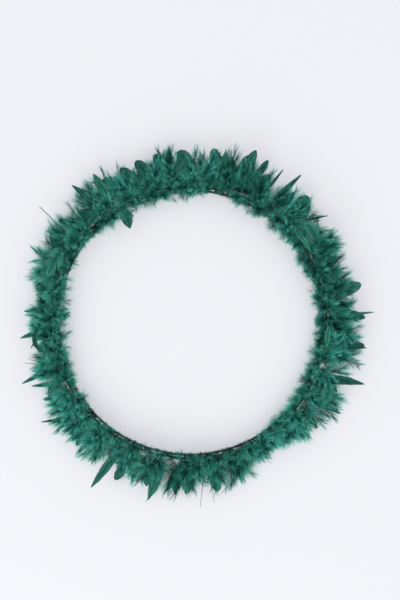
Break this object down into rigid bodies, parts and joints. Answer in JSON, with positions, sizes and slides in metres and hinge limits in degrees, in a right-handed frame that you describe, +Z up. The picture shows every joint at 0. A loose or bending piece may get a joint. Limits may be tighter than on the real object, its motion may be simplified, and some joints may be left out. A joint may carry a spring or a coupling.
{
  "type": "feather boa",
  "caption": "Round feather boa ring: dyed down plumes, flat feathers and blades bound on a cord and lashed around a wire hoop.",
  "frame": {"origin": "centre of the ring, on the surface that it lies on", "axes": "+Z up out of that surface, +Y towards the top of the ring as it hangs, +X to the right seen from above"},
  "size_m": [0.5332, 0.5366, 0.0443],
  "materials": {
    "hoop_wire": "satin",
    "core_cord": "matte",
    "thread": "matte",
    "down": "matte",
    "flat_vane": "satin",
    "blade_vane": "satin",
    "quill": "satin"
  },
  "bodies": {
    "ring": {"hoop": "hoop_wire", "core_cord": "core_cord", "binding_thread": "thread", "join_wrap": "thread", "join_knot": "thread", "lashing_01": "thread", "lashing_02": "thread", "lashing_03": "thread", "lashing_04": "thread", "lashing_05": "thread", "lashing_06": "thread", "lashing_07": "thread", "lashing_08": "thread", "lashing_09": "thread", "lashing_10": "thread", "lashing_11": "thread", "lashing_12": "thread", "down_plumes_01": "down", "down_plumes_02": "down", "down_plumes_03": "down", "down_plumes_04": "down", "down_plumes_05": "down", "down_plumes_06": "down", "down_plumes_07": "down", "down_plumes_08": "down", "down_plumes_09": "down", "down_plumes_10": "down", "down_plumes_11": "down", "down_plumes_12": "down", "flat_feathers_01": "flat_vane", "flat_feathers_02": "flat_vane", "flat_feathers_03": "flat_vane", "flat_feathers_04": "flat_vane", "flat_feathers_05": "flat_vane", "flat_feathers_06": "flat_vane", "flat_feathers_07": "flat_vane", "flat_feathers_08": "flat_vane", "flat_feathers_09": "flat_vane", "flat_feathers_10": "flat_vane", "flat_feathers_11": "flat_vane", "flat_feathers_12": "flat_vane", "inward_feather": "flat_vane", "bare_quills": "quill"},
    "feather_01": {"stand_out_feather_01": "flat_vane"},
    "feather_02": {"stand_out_feather_02": "blade_vane"},
    "feather_03": {"stand_out_feather_03": "blade_vane"},
    "feather_04": {"stand_out_feather_04": "flat_vane"},
    "feather_05": {"stand_out_feather_05": "blade_vane"},
    "feather_06": {"stand_out_feather_06": "blade_vane"},
    "feather_07": {"stand_out_feather_07": "quill"},
    "feather_08": {"stand_out_feather_08": "flat_vane"}
  },
  "joints": [
    {"name": "swing_01", "type": "hinge", "parent": "ring", "child": "feather_01", "pos_m": [0.06606, 0.19969, 0.01511], "axis": [-0.0989, -0.3015, 0.9483], "range_deg": [-12, 12], "stiffness_Nm_per_rad": 0.002},
    {"name": "swing_02", "type": "hinge", "parent": "ring", "child": "feather_02", "pos_m": [0.11657, 0.17505, 0.01511], "axis": [-0.175, -0.2647, 0.9483], "range_deg": [-12, 12], "stiffness_Nm_per_rad": 0.002},
    {"name": "swing_03", "type": "hinge", "parent": "ring", "child": "feather_03", "pos_m": [0.20729, -0.03576, 0.01512], "axis": [-0.3126, 0.0545, 0.9483], "range_deg": [-12, 12], "stiffness_Nm_per_rad": 0.002},
    {"name": "swing_04", "type": "hinge", "parent": "ring", "child": "feather_04", "pos_m": [-0.10087, -0.18459, 0.01512], "axis": [0.1516, 0.2788, 0.9483], "range_deg": [-12, 12], "stiffness_Nm_per_rad": 0.002},
    {"name": "swing_05", "type": "hinge", "parent": "ring", "child": "feather_05", "pos_m": [-0.20041, -0.06383, 0.01511], "axis": [0.3026, 0.0955, 0.9483], "range_deg": [-12, 12], "stiffness_Nm_per_rad": 0.002},
    {"name": "swing_06", "type": "hinge", "parent": "ring", "child": "feather_06", "pos_m": [-0.2096, 0.01791, 0.01512], "axis": [0.3161, -0.0274, 0.9483], "range_deg": [-12, 12], "stiffness_Nm_per_rad": 0.002},
    {"name": "swing_07", "type": "hinge", "parent": "ring", "child": "feather_07", "pos_m": [-0.1728, 0.11989, 0.01511], "axis": [0.2612, -0.1801, 0.9483], "range_deg": [-12, 12], "stiffness_Nm_per_rad": 0.002},
    {"name": "swing_08", "type": "hinge", "parent": "ring", "child": "feather_08", "pos_m": [-0.11439, 0.17656, 0.01513], "axis": [0.1725, -0.2663, 0.9483], "range_deg": [-12, 12], "stiffness_Nm_per_rad": 0.002}
  ]
}
